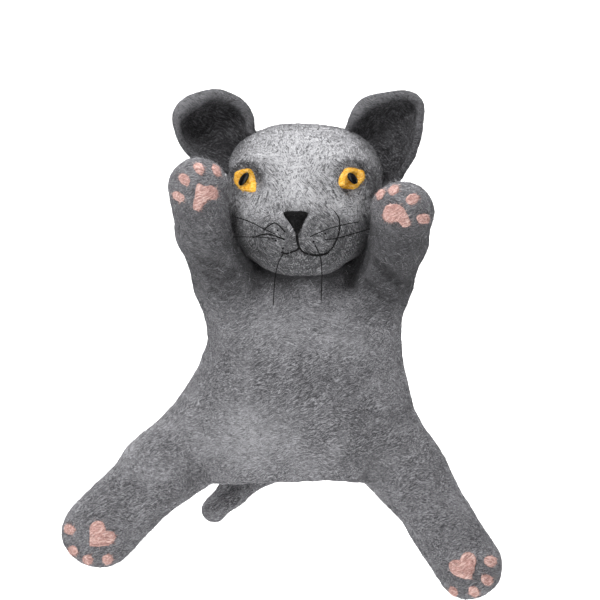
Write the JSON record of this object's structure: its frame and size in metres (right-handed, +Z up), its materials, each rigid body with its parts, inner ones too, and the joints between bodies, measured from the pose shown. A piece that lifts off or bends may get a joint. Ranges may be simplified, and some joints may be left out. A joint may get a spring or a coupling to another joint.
{
  "type": "hand puppet",
  "caption": "Grey felted wool cat glove puppet with a round head, cupped ears, bead eyes, raised arms, pink paw pads, splayed legs and a tail.",
  "frame": {"origin": "centre of the hand opening at the hem", "axes": "+Z up from the hem through the head, +X to the viewer's right, and the face, palms and soles look along -Y"},
  "size_m": [0.2718, 0.1251, 0.3123],
  "materials": {
    "felt_body": "matte",
    "felt_head": "matte",
    "felt_ear": "matte",
    "felt_pink": "matte",
    "felt_yellow": "matte",
    "felt_black": "matte",
    "bead_black": "gloss",
    "thread_black": "satin",
    "wool_stuffing": "matte"
  },
  "bodies": {
    "torso": {"torso_shell": "felt_body"},
    "neck": {"neck_sleeve": "felt_body"},
    "head": {"head_felt": "felt_head", "head_core": "wool_stuffing", "finger_sleeve": "felt_body", "ear_left": "felt_ear", "ear_right": "felt_ear", "muzzle_left": "felt_head", "muzzle_right": "felt_head", "nose": "felt_black", "eye_left": "felt_yellow", "eye_right": "felt_yellow", "pupil_bead_left": "bead_black", "pupil_bead_right": "bead_black", "mouth_stitch": "thread_black", "whisker_left_top": "thread_black", "whisker_left_low": "thread_black", "whisker_left_hanging": "thread_black", "whisker_right_top": "thread_black", "whisker_right_low": "thread_black", "whisker_right_hanging": "thread_black"},
    "arm_left": {"arm_left": "felt_body"},
    "paw_left": {"paw_left": "felt_body", "paw_left_pad": "felt_pink", "paw_left_toe_1": "felt_pink", "paw_left_toe_2": "felt_pink", "paw_left_toe_3": "felt_pink", "paw_left_toe_4": "felt_pink"},
    "arm_right": {"arm_right": "felt_body"},
    "paw_right": {"paw_right": "felt_body", "paw_right_pad": "felt_pink", "paw_right_toe_1": "felt_pink", "paw_right_toe_2": "felt_pink", "paw_right_toe_3": "felt_pink", "paw_right_toe_4": "felt_pink"},
    "leg_left": {"leg_left": "felt_body", "leg_filling_left": "wool_stuffing", "foot_left_pad": "felt_pink", "foot_left_toe_1": "felt_pink", "foot_left_toe_2": "felt_pink", "foot_left_toe_3": "felt_pink", "foot_left_toe_4": "felt_pink"},
    "leg_right": {"leg_right": "felt_body", "leg_filling_right": "wool_stuffing", "foot_right_pad": "felt_pink", "foot_right_toe_1": "felt_pink", "foot_right_toe_2": "felt_pink", "foot_right_toe_3": "felt_pink", "foot_right_toe_4": "felt_pink"},
    "tail": {"tail": "felt_body"}
  },
  "joints": [
    {"name": "neck_tilt", "type": "hinge", "parent": "torso", "child": "neck", "pos_m": [0.009, 0, 0.136], "axis": [0, 1, 0], "range_deg": [-8, 8], "stiffness_Nm_per_rad": 0.6},
    {"name": "head_nod", "type": "hinge", "parent": "neck", "child": "head", "pos_m": [0.009, 0, 0.136], "axis": [1, 0, 0], "range_deg": [-12, 12], "stiffness_Nm_per_rad": 0.6},
    {"name": "shoulder_left", "type": "hinge", "parent": "torso", "child": "arm_left", "pos_m": [-0.042, -0.003, 0.12], "axis": [0, -1, 0], "range_deg": [0, 70], "stiffness_Nm_per_rad": 0.15},
    {"name": "elbow_left", "type": "hinge", "parent": "arm_left", "child": "paw_left", "pos_m": [-0.053, -0.028, 0.15], "axis": [1, 0, 0], "range_deg": [-5, 55], "stiffness_Nm_per_rad": 0.1},
    {"name": "shoulder_right", "type": "hinge", "parent": "torso", "child": "arm_right", "pos_m": [0.06, -0.003, 0.12], "axis": [0, 1, 0], "range_deg": [0, 70], "stiffness_Nm_per_rad": 0.15},
    {"name": "elbow_right", "type": "hinge", "parent": "arm_right", "child": "paw_right", "pos_m": [0.066, -0.028, 0.148], "axis": [1, 0, 0], "range_deg": [-5, 55], "stiffness_Nm_per_rad": 0.1},
    {"name": "hip_left", "type": "hinge", "parent": "torso", "child": "leg_left", "pos_m": [-0.0755, 0, 0.006], "axis": [-0.6745, 0, 0.7383], "range_deg": [-30, 60], "stiffness_Nm_per_rad": 0.25},
    {"name": "hip_right", "type": "hinge", "parent": "torso", "child": "leg_right", "pos_m": [0.072, 0, 0.005], "axis": [-0.8388, 0, -0.5445], "range_deg": [-30, 60], "stiffness_Nm_per_rad": 0.25},
    {"name": "tail_wag", "type": "hinge", "parent": "torso", "child": "tail", "pos_m": [0.006, 0.041, 0.038], "axis": [0, 0, 1], "range_deg": [-45, 20], "stiffness_Nm_per_rad": 0.05}
  ]
}
